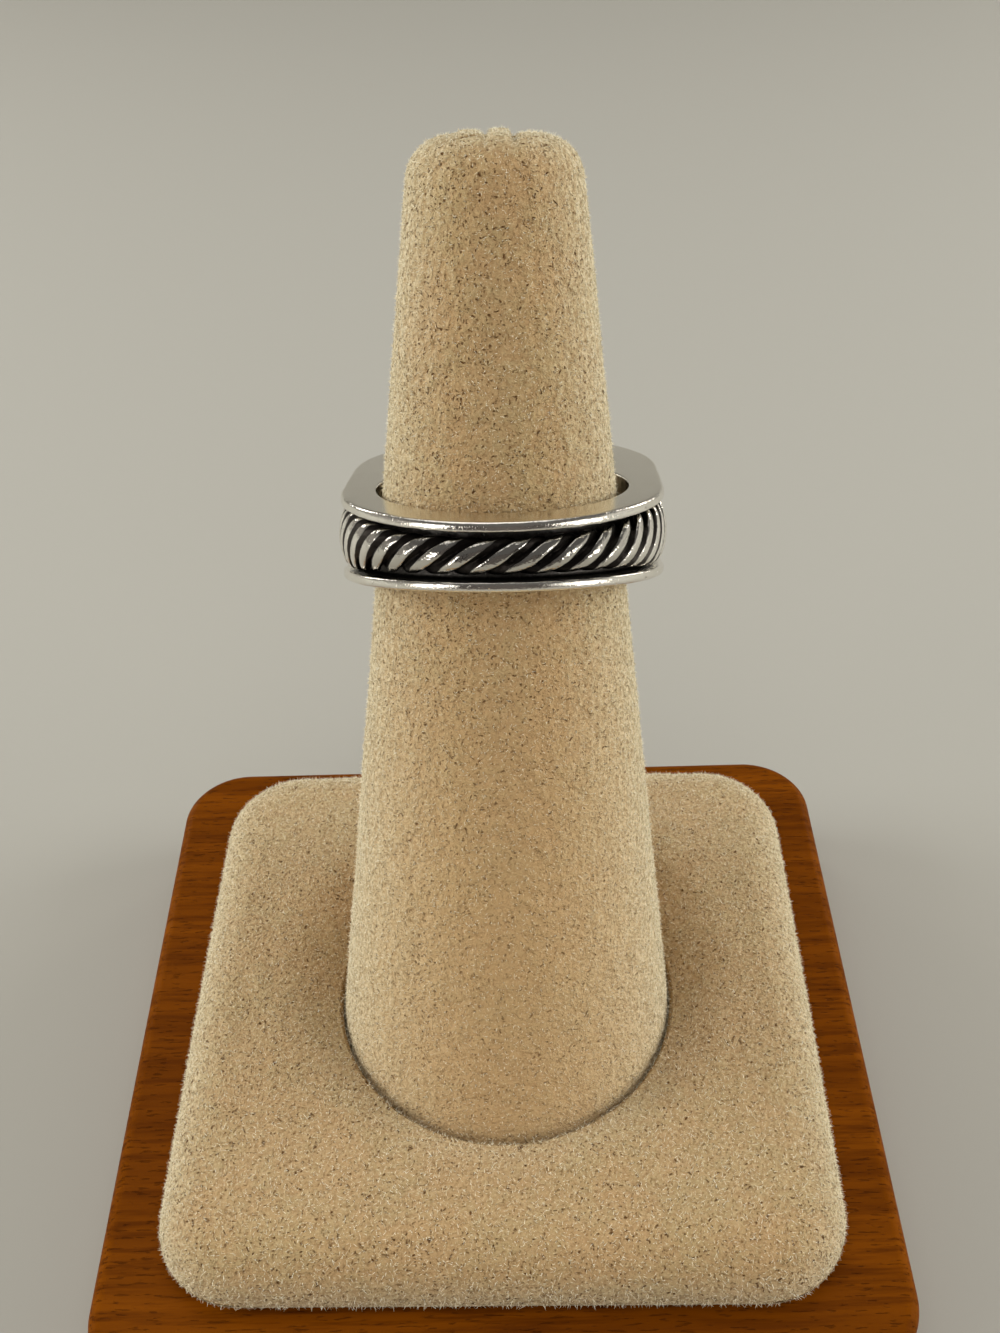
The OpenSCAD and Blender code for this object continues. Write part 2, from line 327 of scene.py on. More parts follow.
def scatter(tree, place, scale, least, most, soft):
    """Small round marks of different sizes: 1 inside a mark and 0 outside"""
    cells = add_node(tree, "ShaderNodeTexVoronoi", {"Vector": place, "Scale": scale, "Randomness": 1.0})
    size = add_node(tree, "ShaderNodeSeparateColor", {"Color": cells.outputs["Color"]})
    reach = remap(tree, size.outputs["Red"], 0.0, 1.0, least, most)
    beyond = calculate(tree, "SUBTRACT", cells.outputs["Distance"], reach)
    return remap(tree, beyond, -soft, soft, 1.0, 0.0)


def suede_finish():
    """Short napped suede: mottled tan and olive with small dark pores, smoother where it is
    rubbed, with painted bounce light that makes it warmer there, painted shade in its creases,
    and a painted pale sheen where its nap is seen from the side"""
    material, tree, shader = start_finish("suede", Roughness=0.95, Specular_IOR_Level=0.0)
    place = millimetre_place(tree)
    bend = add_node(tree, "ShaderNodeTexNoise", {"Vector": place, "Scale": 1.4, "Detail": 2.0})
    bent = add_node(tree, "ShaderNodeVectorMath", {
        0: bend.outputs["Color"], 1: (0.9, 0.9, 0.9), 2: place,
    }, operation="MULTIPLY_ADD").outputs["Vector"]
    upright = add_node(tree, "ShaderNodeMapping", {"Vector": bent, "Scale": (2.3, 2.3, 1.4)})
    level = add_node(tree, "ShaderNodeMapping", {"Vector": bent, "Scale": (1.4, 1.4, 2.3)})
    patches = noise_at(tree, place, 0.16, 2.0)
    mottle = noise_at(tree, place, 0.9, 3.0, 0.62)
    grain = noise_at(tree, place, 3.4, 4.0, 0.68)
    olive = remap(tree, calculate(tree, "ADD", patches, mottle), 0.85, 1.2)
    base = mix_colour(tree, olive, (0.555, 0.355, 0.172), (0.53, 0.37, 0.182))
    base = mix_colour(tree, remap(tree, grain, 0.32, 0.50), (0.43, 0.265, 0.125), base)
    base = mix_colour(tree, remap(tree, grain, 0.54, 0.72, 0.0, 0.6), base, (0.70, 0.51, 0.29))
    rubbed = read_attribute(tree, "rubbed")
    # Painted bounce light: a lighter, warmer colour low on the finger, where the rubbed mark also thins
    # the pores
    base = mix_colour(tree, calculate(tree, "MULTIPLY", rubbed, 0.5), base, (0.67, 0.425, 0.20))
    # Painted sheen: the base colour turns pale cream where the surface is seen from the side
    facing = add_node(tree, "ShaderNodeLayerWeight", {"Blend": 0.5}).outputs["Facing"]
    sheen = mix_colour(tree, remap(tree, grain, 0.41, 0.59), (0.48, 0.375, 0.225), (0.82, 0.70, 0.47))
    base = mix_colour(tree, remap(tree, facing, 0.08, 0.9), base, sheen)
    pores = calculate(
        tree, "MAXIMUM", scatter(tree, upright.outputs["Vector"], 1.5, -0.10, 0.20, 0.10),
        scatter(tree, level.outputs["Vector"], 1.5, -0.10, 0.20, 0.10),
    )
    specks = scatter(tree, bent, 4.2, -0.05, 0.27, 0.12)
    rough = remap(tree, rubbed, 0.0, 1.0, 1.0, 0.6)
    pores = calculate(tree, "MULTIPLY", pores, rough)
    specks = calculate(tree, "MULTIPLY", specks, rough)
    base = mix_colour(tree, calculate(tree, "MULTIPLY", specks, 0.5), base, (0.22, 0.08, 0.006))
    base = mix_colour(tree, calculate(tree, "MULTIPLY", pores, 0.85), base, (0.13, 0.034, 0.001))
    # Painted shade: darker brown in the tip's folds, round the finger's foot and down the gap round it
    painted_crease_shade = read_attribute(tree, "painted_crease_shade")
    base = mix_colour(tree, calculate(tree, "MULTIPLY", painted_crease_shade, 0.8), base, (0.24, 0.115, 0.014))
    tree.links.new(base, shader.inputs["Base Color"])
    dents = calculate(tree, "MAXIMUM", pores, calculate(tree, "MULTIPLY", specks, 0.6))
    height = calculate(tree, "MULTIPLY", grain, 0.7)
    height = calculate(tree, "SUBTRACT", height, calculate(tree, "MULTIPLY", dents, 0.8))
    height = calculate(tree, "ADD", height, calculate(tree, "MULTIPLY", mottle, 1.3))
    add_bump(tree, shader, height, 0.52)
    return material


def nap_finish():
    """The pale tips of the suede's nap"""
    material, tree, shader = start_finish(
        "suede_nap", Roughness=0.9, Specular_IOR_Level=0.05,
    )
    tone = remap(tree, noise_at(tree, millimetre_place(tree), 1.5, 2.0), 0.35, 0.65)
    colour = mix_colour(tree, tone, (0.80, 0.68, 0.47), (0.94, 0.88, 0.70))
    tree.links.new(colour, shader.inputs["Base Color"])
    return material


def wood_finish():
    """Red-brown stained wood with its grain along X and a faint satin gloss"""
    material, tree, shader = start_finish(
        "stained_wood", Coat_Weight=0.01, Coat_Roughness=0.3, Specular_IOR_Level=0.02,
    )
    along = millimetre_place(tree, (0.07, 1, 1))
    fine = millimetre_place(tree, (0.14, 1, 1))
    bands = noise_at(tree, along, 0.32, 3.0, 0.55, 0.4)
    streaks = noise_at(tree, along, 1.7, 4.0, 0.6)
    pores = noise_at(tree, fine, 5.0, 2.0, 0.5)
    band = remap(tree, bands, 0.3, 0.7)
    base = mix_colour(tree, band, (0.114, 0.027, 0.0005), (0.198, 0.051, 0.0013))
    base = mix_colour(tree, remap(tree, streaks, 0.46, 0.64, 0.0, 0.75), base, (0.085, 0.019, 0.0008))
    dash = remap(tree, pores, 0.39, 0.33)
    base = mix_colour(tree, calculate(tree, "MULTIPLY", dash, 0.4), base, (0.03, 0.006, 0.0005))
    tree.links.new(base, shader.inputs["Base Color"])
    tree.links.new(remap(tree, streaks, 0.3, 0.7, 0.34, 0.5), shader.inputs["Roughness"])
    add_bump(tree, shader, calculate(tree, "SUBTRACT", streaks, dash), 0.05)
    return material


def silver_finish():
    """Polished silver with a fine satin on its flat faces and in its seat, and a black
    oxidised channel"""
    material, tree, shader = start_finish("polished_silver", Metallic=1.0)
    place = millimetre_place(tree)
    black = read_attribute(tree, "oxide")
    satin = read_attribute(tree, "satin")
    cloud = noise_at(tree, place, 0.8, 3.0, 0.6)
    soot = noise_at(tree, place, 3.0, 3.0, 0.6)
    scratch = noise_at(tree, millimetre_place(tree, (1, 0.12, 1), (0.3, 0.2, 0.5)), 9.0, 2.0, 0.6)
    silver = mix_colour(tree, remap(tree, cloud, 0.3, 0.7), (0.88, 0.85, 0.775), (0.93, 0.90, 0.83))
    ragged = calculate(tree, "ADD", black, remap(tree, soot, 0.3, 0.7, -0.35, 0.35))
    ragged = calculate(tree, "MULTIPLY", remap(tree, ragged, 0.3, 0.75), remap(tree, black, 0.0, 0.1))
    worn = calculate(tree, "MULTIPLY", ragged, remap(tree, soot, 0.2, 0.75, 1.0, 0.86))
    base = mix_colour(tree, worn, silver, (0.032, 0.028, 0.026))
    tree.links.new(base, shader.inputs["Base Color"])
    rough = remap(tree, cloud, 0.3, 0.7, 0.06, 0.12)
    rough = calculate(tree, "ADD", rough, calculate(tree, "MULTIPLY", satin, 0.13))
    rough = calculate(tree, "ADD", rough, calculate(tree, "MULTIPLY", ragged, 0.35))
    tree.links.new(rough, shader.inputs["Roughness"])
    nicks = scatter(tree, place, 1.9, -0.45, 0.20, 0.08)
    height = calculate(tree, "ADD", calculate(tree, "MULTIPLY", scratch, 0.5), cloud)
    height = calculate(tree, "SUBTRACT", height, calculate(tree, "MULTIPLY", nicks, 2.0))
    height = calculate(tree, "MULTIPLY", height, remap(tree, satin, 0.0, 1.0, 1.0, 0.0))
    add_bump(tree, shader, height, 0.05)
    return material


def wire_finish():
    """Silver strands polished on their tops and oxidised black between them"""
    material, tree, shader = start_finish("oxidised_silver", Metallic=1.0)
    place = millimetre_place(tree)
    ridge = read_attribute(tree, "ridge")
    cloud = noise_at(tree, place, 1.6, 3.0, 0.6)
    level = calculate(tree, "ADD", ridge, remap(tree, cloud, 0.3, 0.7, -0.06, 0.06))
    shine = remap(tree, level, 0.40, 0.54)
    # Painted reflection: strands and grooves lighter towards the ring's sides, standing in for brighter
    # reflections there
    worn = read_attribute(tree, "worn")
    dark = mix_colour(tree, worn, (0.022, 0.019, 0.017), (0.08, 0.072, 0.064))
    bright = mix_colour(tree, worn, (0.62, 0.60, 0.55), (1.0, 0.97, 0.90))
    base = mix_colour(tree, shine, dark, bright)
    tree.links.new(base, shader.inputs["Base Color"])
    tree.links.new(remap(tree, shine, 0.0, 1.0, 0.4, 0.12), shader.inputs["Roughness"])
    add_bump(tree, shader, cloud, 0.10)
    return material


def citrine_finish():
    """Clear golden orange quartz, with a faint painted orange glow"""
    # The faint orange emission is a painted glow; the stone is no lamp
    material, tree, shader = start_finish(
        "citrine", Base_Color=(1.0, 0.56, 0.06, 1), Roughness=0.0, IOR=1.55,
        Transmission_Weight=1.0, Emission_Color=(1.0, 0.40, 0.03, 1), Emission_Strength=0.04,
    )
    veil = noise_at(tree, millimetre_place(tree), 0.25, 2.0)
    base = mix_colour(tree, veil, (1.0, 0.49, 0.035), (1.0, 0.62, 0.09))
    tree.links.new(base, shader.inputs["Base Color"])
    return material


def floor_finish():
    """The pale matt table"""
    return start_finish(
        "floor", Base_Color=(0.39, 0.365, 0.318, 1), Roughness=0.85, Specular_IOR_Level=0.2,
    )[0]


def card_finish():
    """The dark card that the silver mirrors"""
    return start_finish("dark_card", Base_Color=(0.10, 0.085, 0.08, 1), Roughness=0.9)[0]


# The stand


def rounded_square(half, corner, side_steps=36, corner_steps=20):
    """A square outline with round corners, counter-clockwise from the +X side"""
    flat = half - corner
    quarter = [(half, flat * (2 * i / side_steps - 1)) for i in range(side_steps)]
    for i in range(corner_steps):
        a = pi / 2 * i / corner_steps
        quarter.append((flat + corner * cos(a), flat + corner * sin(a)))
    points = []
    for q in range(4):
        c, s = round(cos(q * pi / 2)), round(sin(q * pi / 2))
        points += [(x * c - y * s, x * s + y * c) for x, y in quarter]
    return np.array(points)


def round_edge(radius, steps):
    """Set-in and rise of points round an edge, from its upright side to its flat side"""
    angles = np.linspace(0, pi / 2, steps + 1)
    return [(radius * (1 - cos(a)), radius * sin(a)) for a in angles]


def nap_tree(finish):
    """Short fibres that stand on a napped surface, each one a thin three-sided spike"""
    tree = bpy.data.node_groups.new("nap", "GeometryNodeTree")
    sockets = tree.interface
    sockets.new_socket("Surface", in_out="INPUT", socket_type="NodeSocketGeometry")
    for name, kind in (("Fibres per mm2", "Float"), ("Length", "Float"), ("Thickness", "Float"),
                       ("Lean", "Float"), ("Seed", "Int")):
        sockets.new_socket(name, in_out="INPUT", socket_type="NodeSocket" + kind)
    sockets.new_socket("Nap", in_out="OUTPUT", socket_type="NodeSocketGeometry")
    given = tree.nodes.new("NodeGroupInput").outputs
    napped = add_node(tree, "GeometryNodeInputNamedAttribute", {"Name": "napped"}, data_type="FLOAT")
    density = calculate(tree, "MULTIPLY", given["Fibres per mm2"], MM ** -2)
    roots = add_node(tree, "GeometryNodeDistributePointsOnFaces", {
        "Mesh": given["Surface"], "Selection": napped.outputs["Attribute"],
        "Density": density, "Seed": given["Seed"],
    })
    fibre = add_node(tree, "GeometryNodeMeshCone", {
        "Vertices": 3, "Radius Top": 0.0, "Depth": calculate(tree, "MULTIPLY", given["Length"], MM),
        "Radius Bottom": calculate(tree, "MULTIPLY", given["Thickness"], MM / 2),
    })
    least = calculate(tree, "MULTIPLY", given["Lean"], -1.0)
    low = add_node(tree, "ShaderNodeCombineXYZ", {"X": least, "Y": least, "Z": 0.0})
    high = add_node(tree, "ShaderNodeCombineXYZ", {"X": given["Lean"], "Y": given["Lean"], "Z": 2 * pi})
    tilt = add_node(tree, "FunctionNodeRandomValue", {
        "Min": low.outputs["Vector"], "Max": high.outputs["Vector"], "Seed": given["Seed"],
    }, data_type="FLOAT_VECTOR")
    leaning = add_node(tree, "FunctionNodeEulerToRotation", {"Euler": tilt.outputs["Value"]})
    way = add_node(tree, "FunctionNodeRotateRotation", {
        "Rotation": roots.outputs["Rotation"], "Rotate By": leaning.outputs["Rotation"],
    }, rotation_space="LOCAL")
    size = add_node(tree, "FunctionNodeRandomValue", {"Seed": given["Seed"]}, data_type="FLOAT")
    size.inputs[2].default_value, size.inputs[3].default_value = 0.45, 1.25
    standing = add_node(tree, "GeometryNodeInstanceOnPoints", {
        "Points": roots.outputs["Points"], "Instance": fibre.outputs["Mesh"],
        "Rotation": way.outputs["Rotation"], "Scale": size.outputs[1],
    })
    real = add_node(tree, "GeometryNodeRealizeInstances", {"Geometry": standing.outputs["Instances"]})
    dyed = add_node(tree, "GeometryNodeSetMaterial", {
        "Geometry": real.outputs["Geometry"], "Material": finish,
    })
    out = tree.nodes.new("NodeGroupOutput")
    tree.links.new(dyed.outputs["Geometry"], out.inputs["Nap"])
    return tree


def grow_nap(surface, tree, name, density, length, thickness, seed):
    """Makes a piece of the fibres that a node tree grows on a surface: how many on a square
    millimetre, and the length and thickness of each one in millimetres"""
    sizes = {
        "Fibres per mm2": density, "Length": length, "Thickness": thickness,
        "Lean": 1.0, "Seed": seed,
    }
    grower = bpy.data.objects.new(name, surface.data.copy())
    bpy.context.scene.collection.objects.link(grower)
    growth = grower.modifiers.new("nap", "NODES")
    growth.node_group = tree
    for socket in tree.interface.items_tree:
        if socket.name in sizes:
            growth[socket.identifier] = sizes[socket.name]
    take_result(grower, growth)
    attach(grower, "root")


def make_board():
    """The square board: each row is a set-in from its side and a height"""
    foot = reversed(round_edge(BOARD_FOOT_EASE, 4))
    rows = [(BOARD_FOOT_EASE * 1.4, 0.0)]
    rows += [(inset, BOARD_FOOT_EASE - rise) for inset, rise in foot]
    rows += [(inset, BOARD_TOP - BOARD_EASE + rise) for inset, rise in round_edge(BOARD_EASE, 8)]
    rows += [(BOARD_EASE + 0.1, BOARD_TOP), (BOARD_CORNER - 0.5, BOARD_TOP)]
    points = []
    for inset, height in rows:
        ring = rounded_square(BOARD_HALF - inset, max(BOARD_CORNER - inset, 0.4))
        points += [(x, y, height) for x, y in ring]
    faces = capped_lattice(len(rows), len(points) // len(rows))
    board = add_piece("board", points, faces, wood_finish())
    hand_over(board, "stained_wood", "base_board")


def finger_reach(directions, height, gap):
    """Points round the finger at a height above the board, one in each direction"""
    inverse = np.array(FINGER_FRAME.to_3x3()).T
    foot = np.array(FINGER_FRAME.translation)
    centre = foot + np.array([tan(FINGER_SIDE_LEAN), tan(FINGER_LEAN), 1]) * height
    low, high = np.zeros(len(directions)), np.full(len(directions), 3 * FINGER_FOOT_R)
    for _ in range(40):
        reach = (low + high) / 2
        points = centre + reach[:, None] * directions
        local = (points - foot) @ inverse.T
        limit = FINGER_FOOT_R + gap - local[:, 2] * tan(FINGER_TAPER)
        outside = np.hypot(local[:, 0], local[:, 1]) > limit
        high = np.where(outside, reach, high)
        low = np.where(outside, low, reach)
    return centre + reach[:, None] * directions


def pad_top(distance):
    """Height of the pad's top at a distance from the finger's middle"""
    inner = np.clip((PAD_RIDGE - distance) / (PAD_RIDGE - FINGER_FOOT_R), 0, 1)
    outer = np.clip((distance - PAD_RIDGE) / (PAD_HALF * 1.55 - PAD_RIDGE), 0, 1)
    return PAD_HEIGHT - PAD_DIP * inner ** 2 - PAD_FALL * outer ** 2


def make_pad(suede, nap):
    """The pad: rows of points from its foot over its edge and its top, and down its hole"""
    crown_centre = np.array([FINGER_FOOT[0], FINGER_FOOT[1] + PAD_HEIGHT * tan(FINGER_LEAN)])
    placing = shift(*PAD_PLACE, 0) @ turn("Z", PAD_TURN)

    def outline(inset):
        """The pad's outline with its sides set in"""
        ring = rounded_square(PAD_HALF - inset, max(PAD_CORNER - inset, 1.2))
        return placed(np.column_stack([ring, np.zeros(len(ring))]), placing)[:, :2]

    inner_inset = 5.0
    rows = [(outline(inset), PAD_FOOT - rise) for inset, rise in reversed(round_edge(PAD_FOOT, 5))]
    shoulder = round_edge(PAD_EDGE, 18) + [(PAD_EDGE + 0.5, PAD_EDGE), (inner_inset, PAD_EDGE)]
    last = outline(inner_inset)
    for inset, rise in shoulder:
        ring = outline(inset)
        distance = np.hypot(*(ring - crown_centre).T)
        rows.append((ring, pad_top(distance) - PAD_EDGE + rise))
    directions = last - crown_centre
    directions = np.column_stack([directions, np.zeros(len(last))])
    directions /= np.hypot(directions[:, 0], directions[:, 1])[:, None]
    roll, gap = 0.6, 0.08
    top = pad_top(FINGER_FOOT_R)
    rim = finger_reach(directions, top, roll + gap)[:, :2]
    steps = 40
    for i in range(1, steps + 1):
        ring = last + (rim - last) * (i / steps)
        rows.append((ring, pad_top(np.hypot(*(ring - crown_centre).T))))
    rim_height = rows[-1][1]
    for inset, rise in round_edge(roll, 6)[:0:-1]:
        drop = roll - rise
        ring = finger_reach(directions, top - drop, inset + gap)[:, :2]
        rows.append((ring, rim_height - drop))
    for height in (2.0, 0.0):
        ring = finger_reach(directions, height, gap)[:, :2]
        rows.append((ring, height))
    points = np.vstack([
        np.column_stack([ring, np.broadcast_to(height, len(ring)) + BOARD_TOP]) for ring, height in rows
    ])
    lift = np.clip((points[:, 2] - BOARD_TOP - 0.3) / 2, 0, 1)
    slow, quick = drift(points, 7.0, 3), drift(points, 1.6, 5)
    dimples = drift(points, 0.5, 7)
    points[:, 2] += lift * (0.10 * slow - 0.05 + 0.03 * quick + 0.05 * dimples)
    faces = lattice(len(rows), len(last), rows_closed=True)
    pad = add_piece("suede_pad", points, faces, suede)
    set_attribute(pad, "napped", lift > 0.1)
    # Painted shade down the pad's hole, in the gap round the finger
    hole = np.repeat(np.arange(len(rows)) > len(rows) - 7, len(last))
    set_attribute(pad, "painted_crease_shade", 0.7 * hole)
    grow_nap(pad, nap, "pad_nap", 15.0, 0.30, 0.042, 5)
    hand_over(pad, "suede", "pad")


def finger_radius(along):
    """Radius of the finger at a distance along it"""
    top_r = FINGER_FOOT_R - FINGER_LENGTH * tan(FINGER_TAPER)
    edge_x = top_r - FINGER_TIP_R * (1 - sin(FINGER_TAPER)) / cos(FINGER_TAPER)
    centre = FINGER_LENGTH - FINGER_TIP_R
    turn_in = centre + FINGER_TIP_R * sin(FINGER_TAPER)
    if along < turn_in:
        return FINGER_FOOT_R - along * tan(FINGER_TAPER)
    rise = min(along - centre, FINGER_TIP_R)
    return edge_x + sqrt(FINGER_TIP_R ** 2 - rise ** 2)


def make_finger(suede, nap):
    """The finger: rows of points from its foot on the board up to the middle of its tip"""
    columns = 320
    angles = np.linspace(0, 2 * pi, columns, endpoint=False)
    round_points = np.column_stack([np.cos(angles), np.sin(angles)])
    inverse = np.array(FINGER_FRAME.to_3x3()).T
    foot = finger_reach(np.column_stack([round_points, np.zeros(columns)]), 0.0, 0.0)
    foot_along = ((foot - np.array(FINGER_FRAME.translation)) @ inverse.T)[:, 2]
    lowest = 9.0
    rows = []
    for i in range(24):
        along = foot_along + (lowest - foot_along) * i / 24
        radius = FINGER_FOOT_R - along * tan(FINGER_TAPER)
        rows.append(np.column_stack([round_points * radius[:, None], along]))
    straight = FINGER_LENGTH - FINGER_TIP_R
    stations = list(np.linspace(lowest, straight, 216))
    stations += [straight + FINGER_TIP_R * sin(a) for a in np.linspace(0.03, pi / 2, 36)]
    for along in stations:
        rows.append(np.column_stack([round_points * finger_radius(along), np.full(columns, along)]))
    rim = finger_radius(FINGER_LENGTH)
    for share in np.linspace(0.95, 0.05, 19):
        rows.append(np.column_stack([round_points * rim * share, np.full(columns, FINGER_LENGTH)]))
    points = np.vstack(rows)
    out = np.hypot(points[:, 0], points[:, 1])
    slow, quick = drift(points, 6.0, 11), drift(points, 1.4, 13)
    dimples = drift(points * (1, 1, 0.55), 0.42, 17)
    swell = 1 + (0.05 * slow + 0.02 * quick + 0.07 * dimples) / np.maximum(out, 3)
    points[:, :2] *= swell[:, None]
    points, painted_crease_shade = pucker_tip(points)
    points = placed(points, FINGER_FRAME)
    points = squeeze(points)
    finger = add_piece("suede_finger", points, capped_lattice(len(rows), columns), suede)
    above = points[:, 2] - BOARD_TOP
    # Painted shade round the finger's foot, where it meets the pad
    painted_crease_shade = np.maximum(painted_crease_shade, 0.7 - 0.7 * smoothstep(2.4, 3.7, above))
    set_attribute(finger, "painted_crease_shade", painted_crease_shade)
    # Low on the finger: fewer pores, and painted bounce light that makes its colour lighter and warmer
    set_attribute(finger, "rubbed", 1 - smoothstep(18, 44, above))
    set_attribute(finger, "napped", points[:, 2] > BOARD_TOP + 3)
    grow_nap(finger, nap, "finger_nap", 11.5, 0.24, 0.04, 8)
    hand_over(finger, "suede", "finger")


def pucker_tip(points):
    """Gathers the suede over the finger's tip, in folds that run over its far edge. Returns
    the points and how much painted shade each one gets in the folds and under the flap"""
    x, y, z = points.T
    near_tip = smoothstep(FINGER_LENGTH - 1.1, FINGER_LENGTH - 0.1, z)
    far_side = smoothstep(-2.5, 0.5, y)
    nub = smoothstep(-0.42, -0.28, x) * (1 - smoothstep(0.92, 1.02, x))
    flap = smoothstep(-2.7, -2.2, x) * (1 - smoothstep(-1.0, -0.85, x))
    notch = np.exp(-((x - 1.25) / 0.26) ** 2)
    bulge = smoothstep(1.4, 2.0, x) * (1 - smoothstep(2.9, 3.8, x))
    left_dip = np.exp(-((x + 0.64) / 0.2) ** 2)
    seam = np.exp(-((x + 1.7) / 0.7) ** 6) * np.exp(-((y + 3.95 + 0.1 * x) / 0.16) ** 2)
    gather = np.clip(notch + left_dip, 0, 1) * np.exp(-((y + 0.5) / 3.0) ** 2)
    raised = far_side * (0.40 * nub + 0.30 * flap + 0.10 * bulge)
    moved = points.copy()
    moved[:, 2] += near_tip * (raised - 0.28 * notch - 0.16 * left_dip + 0.06 * drift(points, 0.5, 21))
    moved[:, 2] -= 0.12 * seam
    # Painted shade in the line under the flap and in the folds over the tip
    return moved, np.clip(seam + 0.5 * near_tip * gather, 0, 1)


def squeeze(points):
    """Presses the suede in where the ring's band sits on it"""
    inverse = RING_FRAME.inverted()
    local = placed(points, inverse)
    width = band_at(local[:, 1]) / 2
    reach = np.hypot(local[:, 0], local[:, 1])
    under_band = 1 - smoothstep(width - 0.1, width + 0.7, np.abs(local[:, 2]))
    limit = HOLE_R - FINGER_GAP
    over = np.maximum(reach - limit, 0) * under_band
    local[:, :2] *= ((reach - over) / np.maximum(reach, 1e-6))[:, None]
    return placed(local, RING_FRAME)


# The ring


def band_at(y):
    """Width of the band at a height above the hole's centre"""
    return BAND_WIDTH + BAND_FLARE * (y + SHANK_HALF + SHANK_DROP)


def shank_outline():
    """Places round the shank's outline, from the middle of its top by the +X side to the
    back and on by the -X side: [x, y, angle of the way outwards]"""
    corner = 0.5
    arc_x = SHANK_HALF - SHOULDER_R
    corner_y = SHOULDER_TOP - corner
    arc_end = asin((corner_y - SHOULDER_Y) / (SHOULDER_R - corner))
    corner_x = arc_x + (SHOULDER_R - corner) * cos(arc_end)
    half = [(corner_x * t, SHOULDER_TOP, pi / 2) for t in np.linspace(0, 1, 8, endpoint=False)]
    half += [
        (corner_x + corner * cos(a), corner_y + corner * sin(a), a)
        for a in np.linspace(pi / 2, arc_end, 8, endpoint=False)
    ]
    half += [
        (arc_x + SHOULDER_R * cos(a), SHOULDER_Y + SHOULDER_R * sin(a), a)
        for a in np.linspace(arc_end, 0, 36, endpoint=False)
    ]
    half += [(SHANK_HALF, y, 0.0) for y in np.linspace(SHOULDER_Y, -SHANK_DROP, 24, endpoint=False)]
    half += [
        (SHANK_HALF * cos(a), -SHANK_DROP + SHANK_HALF * sin(a), a)
        for a in np.linspace(0, -pi / 2, 80)
    ]
    other = [(-x, y, pi - a) for x, y, a in reversed(half[1:-1])]
    return half + other


def shank_section():
    """Points of the band's section from the middle of its hole over one face to the middle
    of the channel: [hole or outline, depth into the silver from there, set-in from the
    face]. A set-in of None means the middle of the width."""
    hole_edge, rail_edge, channel_edge, floor_edge = 0.12, 0.3, RAIL_EDGE, 0.25
    section = [("hole", 0.0, None), ("hole", 0.0, hole_edge + 0.05)]
    section += [("hole", hole_edge - rise, inset) for inset, rise in
                [(hole_edge * (1 - sin(a)), hole_edge * cos(a)) for a in np.linspace(0, pi / 2, 5)]]
    section += [("hole", hole_edge + 0.06, 0.0), ("outline", rail_edge + 0.06, 0.0)]
    section += [
        ("outline", rail_edge * (1 - sin(a)), rail_edge * (1 - cos(a)))
        for a in np.linspace(0, pi / 2, 7)
    ]
    section += [
        ("outline", channel_edge * (1 - cos(a)), RAIL - channel_edge * (1 - sin(a)))
        for a in np.linspace(0, pi / 2, 5)
    ]
    section += [("outline", 0.35, RAIL), ("outline", CHANNEL_DEPTH - floor_edge - 0.06, RAIL)]
    section += [
        ("outline", CHANNEL_DEPTH - floor_edge * (1 - sin(a)), RAIL + floor_edge * (1 - cos(a)))
        for a in np.linspace(0, pi / 2, 4)
    ]
    section += [("outline", CHANNEL_DEPTH, RAIL + floor_edge + 0.06), ("outline", CHANNEL_DEPTH, None)]
    return section


def make_band():
    """The band: a closed hoop whose section follows the outline round the hole"""
    section = shank_section()
    whole = [(side, depth, inset, 1) for side, depth, inset in section]
    whole += [(side, depth, inset, -1) for side, depth, inset in reversed(section[1:-1])]
    outline = shank_outline()
    points = []
    for x, y, way in outline:
        out = np.array([cos(way), sin(way)])
        outer = np.array([x, y])
        hole_way = outer / hypot(x, y)
        stop = max(smoothstep(SHOULDER_TOP - 0.35, SHOULDER_TOP - 0.75, y), 0.03)
        for side, depth, inset, face in whole:
            wobble = RAIL_WOBBLE * noise.noise(Vector((x, y, face * 3)) / RAIL_WOBBLE_LENGTH)
            if side == "hole":
                place = hole_way * (HOLE_R + depth)
            elif inset is None or inset >= RAIL:
                place = outer - out * (RAIL_EDGE + (depth - RAIL_EDGE) * stop)
            else:
                place = outer - out * (depth + wobble)
            half = band_at(place[1]) / 2
            z = 0 if inset is None else face * (half - inset)
            points.append((*place, z))
    faces = lattice(len(outline), len(whole), rows_closed=True)
    return points, faces


def cushion_ring(half, corner, y):
    """A ring of points on a cushion outline round the ring's Y axis"""
    ring = rounded_square(half, corner, side_steps=10, corner_steps=14)
    return [(x, y, -z) for x, z in ring]


